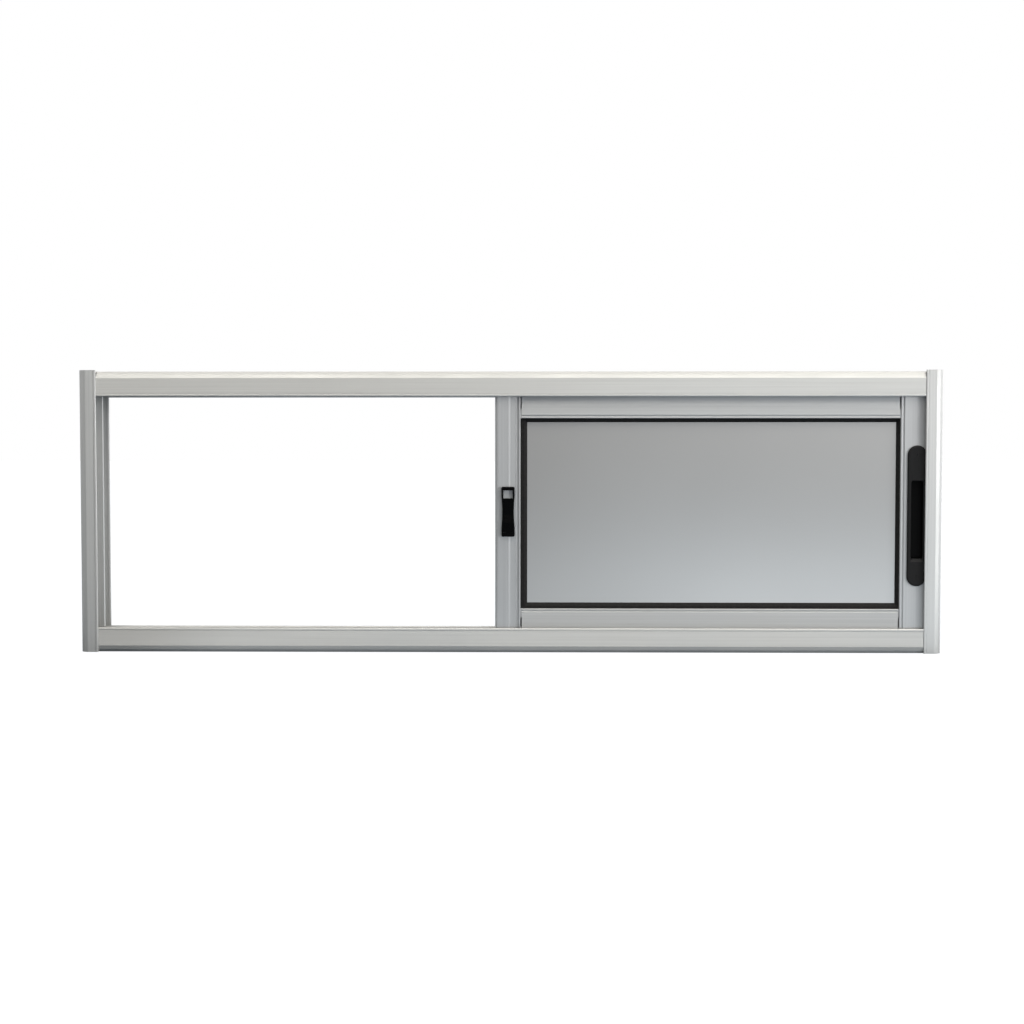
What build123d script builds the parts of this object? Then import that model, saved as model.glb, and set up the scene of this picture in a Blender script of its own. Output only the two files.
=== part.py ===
"""A low two-track aluminium sliding window, with both sashes slid to the right-hand side.

+X is to the right as seen from the room, +Y goes out of doors and +Z is up. The origin is on the
underside of the sill, in the middle of its length and depth. All sizes are in millimetres.
"""
import os

from build123d import *

# Outside of the frame
frame_width = 1200.0
frame_height = 394.0
frame_depth = 74.0

# Frame profiles: two jambs of full height, with the head and sill as tracks between them
jamb_face = 24.0
track_face = 34.5
sill_divider_step = 2.5
sill_rear_step = 5.0
frame_wall = 1.6
divider_width = 6.0
divider_wall = 1.4
track_setback = 0.8
head_drop = 2.0
joint_gap = 0.2

# Outer edge of the frame profiles: a broad flat bevel and a steeper one behind it
broad_bevel_rise = 5.2
broad_bevel_run = 2.4
steep_bevel_rise = 4.0
steep_bevel_run = 3.8

# Inner edge of the frame profiles: a rounded bead that stands proud, with a fine groove beside it
face_recess = 0.5
bead_height = 3.2
bead_thickness = 2.7
bead_radius = 1.3
bead_foot_radius = 0.4
groove_width = 1.0
groove_depth = 0.4

# Roller rails of the tracks
rail_thickness = 2.4
rail_height = 12.0

# Wall fixings through each jamb
fixing_hole_radius = 2.75
fixing_hole_spacing = 194.0

# Sashes
sash_thickness = 22.0
front_sash_setback = 9.0
rear_sash_setback = 46.0
sash_overlap_past_middle = 20.1
jamb_engagement = 12.0
track_clearance = 5.5
sash_wall = 1.4
meeting_stile_face = 35.3
lock_stile_face = 44.3
top_rail_face = 57.6
bottom_rail_face = 54.0
stile_edge_radius = 4.0

# Glazing pocket round the inside of each sash
pocket_depth = 11.0
lip_thickness = 4.4
lip_step = 0.6
lip_radius = 0.8
meeting_stile_lip = 2.2
meeting_stile_groove = 3.6
meeting_stile_groove_depth = 3.0
rail_lip = 2.2
lock_stile_lip = 2.8
plain_groove = 1.8
plain_groove_depth = 1.4
rail_channel_depth = 27.0
notch_clearance = 4.0

# Rebates at the ends of the sash rails, which leave a shadow gap beside the stiles
rail_end_rebate = 2.0
rail_end_rebate_depth = 2.8

# Shallow band down the front of the meeting stile, sunk beside its groove
band_from_free_edge = 18.8
band_slope = 2.6
band_depth = 0.5

# Interlock hooks at the meeting stiles
hook_offset = 17.0
hook_reach = 9.5
hook_length = 10.0
hook_thickness = 1.5
hook_end_gap = 8.0

# Glass and gasket
glass_thickness = 4.0
glass_edge_gap = 3.0
gasket_edge_gap = 0.5
gasket_show_stile_meeting = 9.5
gasket_show_stile_lock = 5.2
gasket_show_top = 5.5
gasket_show_bottom = 8.0
gasket_slope = 4.2
gasket_slope_angle = 45.0

# Rollers under each sash and guides over it
roller_tread_radius = 7.5
roller_flange_radius = 10.0
roller_tread_width = 4.0
roller_flange_width = 2.0
axle_radius = 2.0
roller_inset = 60.0
running_clearance = 0.3
guide_length = 30.0
guide_height = 14.0
guide_inset = 12.0
guide_slot_clearance = 0.7
guide_slot_spare = 3.0

# Flush handle on each lock stile
handle_width = 27.0
handle_length = 196.0
handle_thickness = 3.2
handle_edge_radius = 2.4
handle_from_glass_side = 22.7
handle_middle_height = 191.5
handle_pocket_width = 17.0
handle_pocket_length = 108.0
handle_pocket_depth = 12.0
handle_pocket_drop = 5.5
handle_pocket_radius = 2.5
handle_pocket_wall = 1.2
handle_pocket_chamfer = 1.0
handle_pocket_chamfer_angle = 45.0
handle_ledge_length = 4.5
handle_ledge_depth = 2.0
handle_fit = 0.3
handle_screw_spacing = 170.0
handle_screw_radius = 1.9
handle_screw_depth = 1.2

# Thumb latch on the front meeting stile
latch_width = 18.4
latch_length = 69.5
latch_thickness = 5.0
latch_corner_radius = 2.0
latch_edge_radius = 1.0
latch_from_free_edge = 18.2
latch_middle_height = 197.0
latch_side_rim = 2.7
latch_top_rim = 4.8
latch_bottom_rim = 6.0
latch_undercut = 1.4
latch_undercut_width = 0.8
latch_waist_length = 44.0
latch_waist_depth = 1.1
thumb_length = 47.0
thumb_base_thickness = 1.0
thumb_fit = 0.3
thumb_plate_height = 2.6
thumb_grip_height = 5.0
thumb_grip_length = 13.4
thumb_facet_length = 11.0
thumb_ridges = 5
thumb_ridge_pitch = 2.6
thumb_ridge_width = 1.2
thumb_ridge_height = 0.6

# Places worked out from the sizes above
front_y = -frame_depth / 2
jamb_inner_x = frame_width / 2 - jamb_face
sill_top = track_face
head_top = frame_height - head_drop
head_bottom = head_top - track_face
bevel_rise = broad_bevel_rise + steep_bevel_rise
bevel_run = broad_bevel_run + steep_bevel_run
sash_bottom = frame_wall + track_clearance
sash_top = head_top - frame_wall - track_clearance
sash_height = sash_top - sash_bottom
sash_left = -sash_overlap_past_middle
sash_right = jamb_inner_x + jamb_engagement
front_sash_y = front_y + front_sash_setback
rear_sash_y = front_y + rear_sash_setback
rail_engagement = frame_wall + rail_height - sash_bottom
track_depth = frame_depth - 2 * track_setback
tongue_half = frame_depth / 2 - face_recess - bevel_run - frame_wall


def block(x_range, y_range, z_range):
    """A box between two values on each axis."""
    centre = [(low + high) / 2 for low, high in (x_range, y_range, z_range)]
    size = [high - low for low, high in (x_range, y_range, z_range)]
    return Pos(*centre) * Box(*size)


def flat(across, along):
    """A rectangle of a profile, across the depth and along the face."""
    centre = Pos((across[0] + across[1]) / 2, (along[0] + along[1]) / 2)
    return centre * Rectangle(across[1] - across[0], along[1] - along[0])


def run(profile, origin, direction, length):
    """A profile drawn out from origin, with its first axis along +Y."""
    plane = Plane(origin=origin, x_dir=(0, 1, 0), z_dir=direction)
    return extrude(plane * profile, amount=length)


def bevelled_outline(depth, face):
    """The outside of a frame profile: its outer side is at zero and its flanges point up to face."""
    half = depth / 2
    bevels = [(half - bevel_run, 0), (half - broad_bevel_run, steep_bevel_rise), (half, bevel_rise)]
    side = [*bevels, (half, face)]
    mirrored = [(-across, along) for across, along in reversed(side)]
    return make_face(Polyline(*side, *mirrored, close=True))


def flange_edge(profile, depth, face, side):
    """Gives a front (-1) or rear (+1) flange its rounded bead, and the fine groove beside it."""
    outer = side * depth / 2
    surface = outer - side * face_recess
    root = face - bead_height
    middle = (root + face) / 2
    profile -= flat(sorted((surface, surface - side * frame_wall)), (root, face))
    bead = flat(sorted((outer, outer - side * bead_thickness)), (root, face))
    bead = fillet([corner for corner in bead.vertices() if corner.Y > middle], bead_radius)
    feet = [corner for corner in bead.vertices() if corner.Y < middle]
    bead = fillet([max(feet, key=lambda corner: side * corner.X)], bead_foot_radius)
    profile += bead
    return profile - flat(sorted((surface, surface - side * groove_depth)), (root - groove_width, root))


def frame_profile(depth, front_face, divider_face, rear_face):
    """A channel with a front flange, a hollow divider and a rear flange, each with its own face."""
    half_divider = divider_width / 2
    above = 2 * front_face
    faces = depth - 2 * face_recess
    inside = offset(bevelled_outline(faces, above), amount=-frame_wall, kind=Kind.INTERSECTION)
    channels = flat((-depth, -half_divider), (0, front_face)) + flat((half_divider, depth), (0, front_face))
    profile = bevelled_outline(faces, front_face) - (inside & channels)
    profile -= flat((-half_divider, half_divider), (divider_face, above))
    profile -= flat((half_divider, depth), (rear_face, above))
    hollow = half_divider - divider_wall
    profile -= flat((-hollow, hollow), (frame_wall, divider_face - divider_wall))
    profile = flange_edge(profile, depth, front_face, -1)
    return flange_edge(profile, depth, rear_face, 1)


def track_profile(divider_face, rear_face):
    """A frame profile with a roller rail under the middle of each sash."""
    profile = frame_profile(track_depth, track_face, divider_face, rear_face)
    for sash_y in (front_sash_y, rear_sash_y):
        middle = sash_y + sash_thickness / 2
        width = (middle - rail_thickness / 2, middle + rail_thickness / 2)
        profile += flat(width, (0, frame_wall + rail_height))
    return profile


def track(name, origin_z, direction, divider_face, rear_face):
    """The sill (+1) or head (-1): its web with the rails, its two flanges and its divider.

    The web ends in tongues that reach the webs of the jambs, and the rest stops short of the jambs.
    """
    half = track_depth / 2
    half_divider = divider_width / 2
    flange_inner = half - bead_thickness
    uprights = {
        f"{name}_front_flange": flat((-half, -flange_inner), (bevel_rise, track_face)),
        f"{name}_divider": flat((-half_divider, half_divider), (frame_wall, divider_face)),
        f"{name}_rear_flange": flat((flange_inner, half), (bevel_rise, rear_face)),
    }
    profile = track_profile(divider_face, rear_face)
    sections = {node: profile & region for node, region in uprights.items()}
    for region in uprights.values():
        profile -= region
    sections[name] = profile
    shoulder = jamb_inner_x - joint_gap
    start = (-direction * shoulder, 0, origin_z)
    along = (direction, 0, 0)
    pieces = {node: run(section, start, along, 2 * shoulder) for node, section in sections.items()}
    end = frame_width / 2 - frame_wall
    web = sorted((origin_z, origin_z + direction * frame_wall))
    pieces[name] += block((-end, end), (-tongue_half, tongue_half), web)
    return pieces


def jamb(side):
    """The left (-1) or right (+1) jamb, with its divider stopped at the tongues of the tracks."""
    start = frame_height if side < 0 else 0
    origin = (side * frame_width / 2, 0, start)
    profile = frame_profile(frame_depth, jamb_face, jamb_face, jamb_face)
    part = run(profile, origin, (0, 0, side), frame_height)
    web_inner = frame_width / 2 - frame_wall
    inside = sorted((side * (jamb_inner_x - joint_gap), side * web_inner))
    for ends in ((0, frame_wall), (head_top - frame_wall, frame_height)):
        part -= block(inside, (-tongue_half, tongue_half), ends)
    hole_y = front_sash_y + sash_thickness / 2
    for step in (-0.5, 0.5):
        height = frame_height / 2 + step * fixing_hole_spacing
        web_middle = side * (frame_width - frame_wall) / 2
        part -= Pos(web_middle, hole_y, height) * Rot(0, 90, 0) * Cylinder(fixing_hole_radius, frame_wall)
    return part


def sash_body(face, lip, groove, free_radius=None):
    """The solid part of a sash profile as far as its groove, with rounded edges."""
    shoulder = face - lip - groove
    body = flat((0, sash_thickness), (0, shoulder))
    body = fillet([corner for corner in body.vertices() if corner.Y > shoulder / 2], lip_radius)
    if free_radius:
        body = fillet([corner for corner in body.vertices() if corner.Y < shoulder / 2], free_radius)
    return body


def glazing_lips(body, face, lip, groove, groove_depth):
    """Adds a groove and a lowered round lip on both faces of a profile, and cuts its glazing pocket."""
    lip_start = face - lip
    middle = sash_thickness / 2
    profile = body
    for side in (-1, 1):
        inner = middle + side * (middle - lip_thickness)
        groove_floor = sorted((inner, middle + side * (middle - groove_depth)))
        profile += flat(groove_floor, (lip_start - groove, lip_start))
        bar = flat(sorted((inner, middle + side * (middle - lip_step))), (lip_start, face))
        outer = [corner for corner in bar.vertices() if side * (corner.X - inner) > lip_step]
        bar = fillet(outer, lip_radius)
        profile += bar
    return profile - flat((lip_thickness, sash_thickness - lip_thickness), (face - pocket_depth, face))


def stile_profile(face, lip, groove, depth):
    """A stile: a hollow tube with a glazing pocket, its free edge rounded."""
    profile = glazing_lips(sash_body(face, lip, groove, stile_edge_radius), face, lip, groove, depth)
    tube = flat((sash_wall, sash_thickness - sash_wall), (sash_wall, face - pocket_depth - sash_wall))
    free_side = [corner for corner in tube.vertices() if corner.Y < face / 4]
    return profile - fillet(free_side, stile_edge_radius - sash_wall)


def rail_profile(face):
    """A sash rail: an open channel over the track's rail, a closed chamber and a glazing pocket."""
    body = sash_body(face, rail_lip, plain_groove)
    profile = glazing_lips(body, face, rail_lip, plain_groove, plain_groove_depth)
    inside = (sash_wall, sash_thickness - sash_wall)
    profile -= flat(inside, (0, rail_channel_depth))
    return profile - flat(inside, (rail_channel_depth + sash_wall, face - pocket_depth - sash_wall))


def stile(profile, free_x, inward, sash_y):
    """A stile of full sash height, notched at both ends where the track's rails pass through it."""
    start = sash_top if inward > 0 else sash_bottom
    part = run(profile, (free_x, sash_y, start), (0, 0, -inward), sash_height)
    middle = sash_y + sash_thickness / 2
    half = rail_thickness / 2 + notch_clearance
    rise = rail_engagement + notch_clearance
    reach = sorted((free_x, free_x + inward * frame_width / 2))
    for ends in ((sash_bottom, sash_bottom + rise), (sash_top - rise, sash_top)):
        part -= block(reach, (middle - half, middle + half), ends)
    return part


def meeting_stile(free_x, inward, sash_y, hook_side):
    """The stile at the middle of the window, with its interlock hook on the back (+1) or front (-1)."""
    groove = (meeting_stile_groove, meeting_stile_groove_depth)
    profile = stile_profile(meeting_stile_face, meeting_stile_lip, *groove)
    band_end = meeting_stile_face - meeting_stile_lip - meeting_stile_groove - lip_radius
    band_floor = band_from_free_edge + band_slope
    band = [(0, band_from_free_edge), (band_depth, band_floor), (band_depth, band_end), (0, band_end)]
    profile -= make_face(Polyline(*band, close=True))
    part = stile(profile, free_x, inward, sash_y)
    face_y = sash_y + sash_thickness if hook_side > 0 else sash_y
    heights = (sill_top + hook_end_gap, head_bottom - hook_end_gap)
    root_x = free_x + inward * hook_offset
    tip_y = face_y + hook_side * hook_reach
    leg = block(sorted((root_x, root_x + inward * hook_thickness)), sorted((face_y, tip_y)), heights)
    lip_y = sorted((tip_y, tip_y - hook_side * hook_thickness))
    lip = block(sorted((root_x, root_x + inward * hook_length)), lip_y, heights)
    return part + leg + lip


def lock_stile(free_x, inward, sash_y):
    """The stile at the jamb, with the opening for the flush handle's pocket in its front wall."""
    groove = (plain_groove, plain_groove_depth)
    part = stile(stile_profile(lock_stile_face, lock_stile_lip, *groove), free_x, inward, sash_y)
    handle_x = free_x + inward * (lock_stile_face - handle_from_glass_side)
    half_width = handle_pocket_width / 2 + handle_pocket_wall + handle_fit
    half_length = handle_pocket_length / 2 + handle_pocket_wall + handle_fit
    middle = handle_middle_height - handle_pocket_drop
    across = (handle_x - half_width, handle_x + half_width)
    return part - block(across, (sash_y, sash_y + sash_wall), (middle - half_length, middle + half_length))


def sash_rail(x_range, sash_y, level, direction, face):
    """The bottom (+1) or top (-1) rail of a sash, set between its stiles and rebated at both ends."""
    left, right = x_range
    start = left if direction > 0 else right
    part = run(rail_profile(face), (start, sash_y, level), (direction, 0, 0), right - left)
    heights = sorted((level, level + direction * face))
    back = sash_y + sash_thickness
    for end in ((left, left + rail_end_rebate), (right - rail_end_rebate, right)):
        for depth in ((sash_y, sash_y + rail_end_rebate_depth), (back - rail_end_rebate_depth, back)):
            part -= block(end, depth, heights)
    return part


def glass_pane(x_range, z_range, sash_y):
    """The pane, with its edges inside the glazing pocket."""
    middle = sash_y + sash_thickness / 2
    half = glass_thickness / 2
    reach = pocket_depth - glass_edge_gap
    across = (x_range[0] - reach, x_range[1] + reach)
    up = (z_range[0] - reach, z_range[1] + reach)
    return block(across, (middle - half, middle + half), up)


def gasket_ring(x_range, z_range, sash_y, shows, pane):
    """The rubber channel round the pane, with a sloping edge that shows on both faces."""
    reach = pocket_depth - gasket_edge_gap
    across = (x_range[0] - reach, x_range[1] + reach)
    up = (z_range[0] - reach, z_range[1] + reach)
    thick = (sash_y + lip_thickness, sash_y + sash_thickness - lip_thickness)
    left, right = shows
    clear_x = (x_range[0] + left, x_range[1] - right)
    clear_z = (z_range[0] + gasket_show_bottom, z_range[1] - gasket_show_top)
    ring = block(across, thick, up) - block(clear_x, thick, clear_z)
    mouth_width = clear_x[1] - clear_x[0] + 2 * gasket_slope
    mouth_height = clear_z[1] - clear_z[0] + 2 * gasket_slope
    for face_y, inwards in ((thick[0], 1), (thick[1], -1)):
        middle = (sum(clear_x) / 2, face_y, sum(clear_z) / 2)
        plane = Plane(origin=middle, x_dir=(1, 0, 0), z_dir=(0, inwards, 0))
        mouth = plane * Rectangle(mouth_width, mouth_height)
        ring -= extrude(mouth, amount=gasket_slope, taper=gasket_slope_angle)
    return ring - pane


def rollers(x_range, sash_y):
    """Two grooved rollers on their axles in the channel of the bottom rail."""
    middle = sash_y + sash_thickness / 2
    height = frame_wall + rail_height + running_clearance + roller_tread_radius
    wheels = []
    for x in (x_range[0] + roller_inset, x_range[1] - roller_inset):
        place = Pos(x, middle, height) * Rot(90, 0, 0)
        wheel = Cylinder(roller_tread_radius, roller_tread_width)
        for side in (-1, 1):
            offset_along = side * (roller_tread_width + roller_flange_width) / 2
            wheel += Pos(0, 0, offset_along) * Cylinder(roller_flange_radius, roller_flange_width)
        axle = Cylinder(axle_radius, sash_thickness - 2 * sash_wall)
        wheels.append(place * (wheel + axle))
    return Compound(children=wheels)


def top_guides(x_range, sash_y):
    """Two slotted blocks in the channel of the top rail, one each side of the head's rail."""
    middle = sash_y + sash_thickness / 2
    half = sash_thickness / 2 - sash_wall
    slot_half = rail_thickness / 2 + guide_slot_clearance
    slot_depth = rail_engagement + guide_slot_spare
    blocks = []
    for start in (x_range[0] + guide_inset, x_range[1] - guide_inset - guide_length):
        reach = (start, start + guide_length)
        body = block(reach, (middle - half, middle + half), (sash_top - guide_height, sash_top))
        slot = block(reach, (middle - slot_half, middle + slot_half), (sash_top - slot_depth, sash_top))
        blocks.append(body - slot)
    return Compound(children=blocks)


def flush_handle(handle_x, sash_y):
    """A long round-ended plate with a finger pocket let into the stile."""
    upright = Plane(origin=(handle_x, sash_y, handle_middle_height), x_dir=(0, 0, 1), z_dir=(0, -1, 0))
    plate = extrude(upright * SlotOverall(handle_length, handle_width), amount=handle_thickness)
    face = plate.faces().sort_by(Axis.Y)[0]
    plate = fillet(face.edges(), handle_edge_radius)
    middle = upright * Pos(-handle_pocket_drop, 0)
    outside = RectangleRounded(
        handle_pocket_length + 2 * handle_pocket_wall,
        handle_pocket_width + 2 * handle_pocket_wall,
        handle_pocket_radius + handle_pocket_wall,
    )
    inside = RectangleRounded(handle_pocket_length, handle_pocket_width, handle_pocket_radius)
    tray_depth = handle_pocket_depth - handle_thickness + handle_pocket_wall
    part = plate + extrude(middle * outside, amount=-tray_depth)
    front = middle * Pos(0, 0, handle_thickness)
    part -= extrude(front * inside, amount=-handle_pocket_depth)
    mouth = RectangleRounded(
        handle_pocket_length + 2 * handle_pocket_chamfer,
        handle_pocket_width + 2 * handle_pocket_chamfer,
        handle_pocket_radius + handle_pocket_chamfer,
    )
    part -= extrude(front * mouth, amount=-handle_pocket_chamfer, taper=handle_pocket_chamfer_angle)
    ledge_top = handle_middle_height - handle_pocket_drop - handle_pocket_length / 2
    ledge_y = sash_y - handle_thickness
    ledge = Polyline(
        (ledge_y, ledge_top - handle_ledge_length), (ledge_y, ledge_top),
        (ledge_y + handle_ledge_depth, ledge_top), close=True,
    )
    left_side = (handle_x - handle_pocket_width / 2, 0, 0)
    upright_side = Plane(origin=left_side, x_dir=(0, 1, 0), z_dir=(1, 0, 0))
    part -= extrude(upright_side * make_face(ledge), amount=handle_pocket_width)
    for step in (-0.5, 0.5):
        seat_height = handle_thickness - handle_screw_depth / 2
        seat = upright * Pos(step * handle_screw_spacing, 0, seat_height)
        part -= seat * Cylinder(handle_screw_radius, handle_screw_depth)
    return part


def latch_plane(latch_x):
    """The front of the stile at the middle of the latch, with its first axis upright."""
    return Plane(origin=(latch_x, front_sash_y, latch_middle_height), x_dir=(0, 0, 1), z_dir=(0, -1, 0))


def latch_case(latch_x):
    """The latch's rim, undercut to hold the thumb slide."""
    plane = latch_plane(latch_x)
    outline = RectangleRounded(latch_length, latch_width, latch_corner_radius)
    half_waist = latch_waist_length / 2
    waist_radius = (half_waist**2 + latch_waist_depth**2) / (2 * latch_waist_depth)
    waist_centre = latch_width / 2 - latch_waist_depth + waist_radius
    for side in (-1, 1):
        outline -= Pos(0, side * waist_centre) * Circle(waist_radius)
    body = extrude(plane * outline, amount=latch_thickness)
    body = fillet(body.faces().sort_by(Axis.Y)[0].edges(), latch_edge_radius)
    window_length = latch_length - latch_top_rim - latch_bottom_rim
    window_width = latch_width - 2 * latch_side_rim
    middle = (latch_bottom_rim - latch_top_rim) / 2
    body -= extrude(plane * Pos(middle, 0) * Rectangle(window_length, window_width), amount=latch_thickness)
    under = Rectangle(window_length, window_width + 2 * latch_undercut_width)
    return body - extrude(plane * Pos(middle, 0) * under, amount=latch_undercut)


def latch_thumb(latch_x):
    """The thumb slide at the bottom of its window, ridged on its raised lower half."""
    plane = latch_plane(latch_x)
    low = -latch_length / 2 + latch_bottom_rim + thumb_fit
    base_width = latch_width - 2 * latch_side_rim + 2 * latch_undercut_width - 2 * thumb_fit
    plate_width = latch_width - 2 * latch_side_rim - 2 * thumb_fit
    middle = low + thumb_length / 2
    base = plane * Pos(middle, 0) * Rectangle(thumb_length, base_width)
    base = extrude(base, amount=thumb_base_thickness)
    left_side = (latch_x - plate_width / 2, front_sash_y, latch_middle_height)
    side = Plane(origin=left_side, x_dir=(0, 0, 1), z_dir=(1, 0, 0))
    top = low + thumb_length
    grip = low + thumb_grip_length
    outline = Polyline(
        (low, 0), (top, 0), (top, thumb_plate_height), (grip + thumb_facet_length, thumb_plate_height),
        (grip, thumb_grip_height), (low, thumb_grip_height), close=True,
    )
    part = base + extrude(side * make_face(outline), amount=plate_width)
    for index in range(thumb_ridges):
        centre = low + thumb_ridge_pitch * (index + 1)
        ridge = Rectangle(thumb_ridge_width, plate_width)
        raised = thumb_grip_height + thumb_ridge_height
        part += extrude(plane * Pos(centre, 0) * ridge, amount=raised)
    return part


def sash(name, sash_y, inward, hook_side):
    """All fixed pieces of a sash; inward is +1 where the meeting stile is at its left."""
    meeting_x, lock_x = (sash_left, sash_right) if inward > 0 else (sash_right, sash_left)
    inner = sorted((meeting_x + inward * meeting_stile_face, lock_x - inward * lock_stile_face))
    daylight = (sash_bottom + bottom_rail_face, sash_top - top_rail_face)
    shows = (gasket_show_stile_meeting, gasket_show_stile_lock)
    pane = glass_pane(inner, daylight, sash_y)
    handle_x = lock_x - inward * (lock_stile_face - handle_from_glass_side)
    return {
        f"{name}_meeting_stile": meeting_stile(meeting_x, inward, sash_y, hook_side),
        f"{name}_lock_stile": lock_stile(lock_x, -inward, sash_y),
        f"{name}_top_rail": sash_rail(inner, sash_y, sash_top, -1, top_rail_face),
        f"{name}_bottom_rail": sash_rail(inner, sash_y, sash_bottom, 1, bottom_rail_face),
        f"{name}_glass": pane,
        f"{name}_gasket": gasket_ring(inner, daylight, sash_y, shows[::inward], pane),
        f"{name}_rollers": rollers(inner, sash_y),
        f"{name}_top_guides": top_guides(inner, sash_y),
        f"{name}_flush_handle": flush_handle(handle_x, sash_y),
    }


latch_x = sash_left + latch_from_free_edge
nodes = {
    "left_jamb": jamb(-1),
    "right_jamb": jamb(1),
    **track("head", head_top, -1, track_face, track_face),
    **track("sill", 0, 1, track_face - sill_divider_step, track_face - sill_rear_step),
    **sash("front_sash", front_sash_y, 1, 1),
    **sash("rear_sash", rear_sash_y, -1, -1),
    "latch_case": latch_case(latch_x),
    "latch_thumb_slide": latch_thumb(latch_x),
}

os.makedirs("parts", exist_ok=True)
for node, shape in nodes.items():
    export_step(shape, f"parts/{node}.step")
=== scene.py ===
"""A low two-track aluminium sliding window: its finishes, screws, pile seals and a plain studio.

The window stands on the floor in the frame of its solids: +X to the right seen from the room, +Y out of
doors, +Z up, in metres.
"""
import math

import bmesh
import bpy
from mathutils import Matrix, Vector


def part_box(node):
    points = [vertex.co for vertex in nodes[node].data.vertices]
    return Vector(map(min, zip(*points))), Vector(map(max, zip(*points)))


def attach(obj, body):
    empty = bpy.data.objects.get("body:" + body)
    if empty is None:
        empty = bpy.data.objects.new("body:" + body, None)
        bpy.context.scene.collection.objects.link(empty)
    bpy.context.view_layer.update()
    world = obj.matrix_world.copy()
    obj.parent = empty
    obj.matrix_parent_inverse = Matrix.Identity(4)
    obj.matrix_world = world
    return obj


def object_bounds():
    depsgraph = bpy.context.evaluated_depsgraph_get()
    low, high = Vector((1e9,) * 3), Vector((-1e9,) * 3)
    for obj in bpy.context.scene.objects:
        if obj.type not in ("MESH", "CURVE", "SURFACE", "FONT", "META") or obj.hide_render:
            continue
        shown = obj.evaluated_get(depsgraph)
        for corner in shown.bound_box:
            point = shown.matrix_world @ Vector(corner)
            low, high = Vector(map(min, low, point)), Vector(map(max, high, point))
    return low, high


bl_info = {
    "name": "Aluminium sliding window",
    "version": (1, 0, 0),
    "blender": (4, 5, 0),
    "location": "3D View > Sidebar > Sliding window",
    "description": "Finishes a two-track aluminium sliding window and sets it in a plain studio",
    "category": "Object",
}

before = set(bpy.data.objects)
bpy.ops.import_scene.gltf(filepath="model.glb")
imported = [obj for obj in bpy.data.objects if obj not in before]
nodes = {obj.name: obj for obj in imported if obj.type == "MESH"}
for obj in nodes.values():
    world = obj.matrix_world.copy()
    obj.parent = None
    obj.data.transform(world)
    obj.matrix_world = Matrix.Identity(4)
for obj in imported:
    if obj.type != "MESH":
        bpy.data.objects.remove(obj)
cad_low, cad_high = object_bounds()

UPRIGHT_FRAME = ("left_jamb", "right_jamb")
LEVEL_FRAME = tuple(
    f"{track}{part}"
    for track in ("head", "sill")
    for part in ("", "_front_flange", "_divider", "_rear_flange")
)
SASHES = ("front_sash", "rear_sash")
UPRIGHT_SASH = tuple(f"{sash}_{stile}" for sash in SASHES for stile in ("meeting_stile", "lock_stile"))
LEVEL_SASH = tuple(f"{sash}_{rail}" for sash in SASHES for rail in ("top_rail", "bottom_rail"))

# Spread of the die lines' noise along each axis, per metre
UPRIGHT_LINES = (420.0, 420.0, 3.0)
LEVEL_LINES = (3.0, 420.0, 420.0)
PILE_FIBRES = (2600.0, 180.0, 2600.0)

# Depths between which one finish of a solid gives way to another, and between which painted shade deepens
# in a handle's pocket
WALL_FACE_FADE = (-0.0006, -0.0002)
POCKET_PAINTED_SHADE = (0.0015, 0.0045)

# Screw heads: sides, the rounding as a share of the height, and the recess as shares of the radius
SCREW_SIDES = 32
SCREW_ROUNDING = 0.45
SCREW_ROUNDING_STEPS = 4
RECESS_HALF_WIDTH = 0.16
RECESS_ARM = 0.38

# Pile seals: shares of the brush's height, from its root to its ragged end
BRUSH_STEPS = (0.55, 0.45)

# Angles over which edges stay sharp
SCREW_SHARP = math.radians(30)
PILE_SHARP = math.radians(50)

# Floor: its size, and how far it lies under the sill
FLOOR_SIZE = 40.0
FLOOR_DROP = 0.0002

# Ramps of the floor's painted glow, which metal and glass mirror as a pool of light in front of the
# window with painted shade along the sill: the places where each starts and stops, and its strength there
STRIP_OUTER_EDGE = (-0.45, -0.25, 0.0, 0.75)
STRIP_SILL_EDGE = (-0.08, -0.02, 1.0, 0.0)
STRIP_LEFT_EDGE = (-0.55, -0.4, 0.0, 1.0)
LIT_SILL_EDGE = (-0.03, -0.2, 0.0, 1.0)
LIT_LEFT_EDGE = (-0.3, 0.4, 0.15, 1.0)
LIT_FAR_EDGE = (-4.0, -1.0, 0.25, 1.0)
LIT_BEHIND = (0.04, 0.12, 0.0, 1.0)
GLOW_REACH = (0.8, 1.6)

# Ramps over the mirrored surroundings, by direction
BACKDROP_AIM = (-0.6, 0.8)
BACKDROP_EDGE = (0.1, 0.5, 0.0, 1.0)
LEFT_SIDE = (-0.5, -0.15)
RIGHT_SIDE = (-0.03, 0.22)
LEFT_END = (-0.85, -0.55, 0.3, 1.0)
RIGHT_END = (0.9, 0.97, 1.0, 0.15)
OVERHEAD = (0.2, 0.5, 1.0, 0.3)
ROOM_SIDES = (0.2, 0.6)

WHITE = (1.0, 1.0, 1.0, 1.0)


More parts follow.
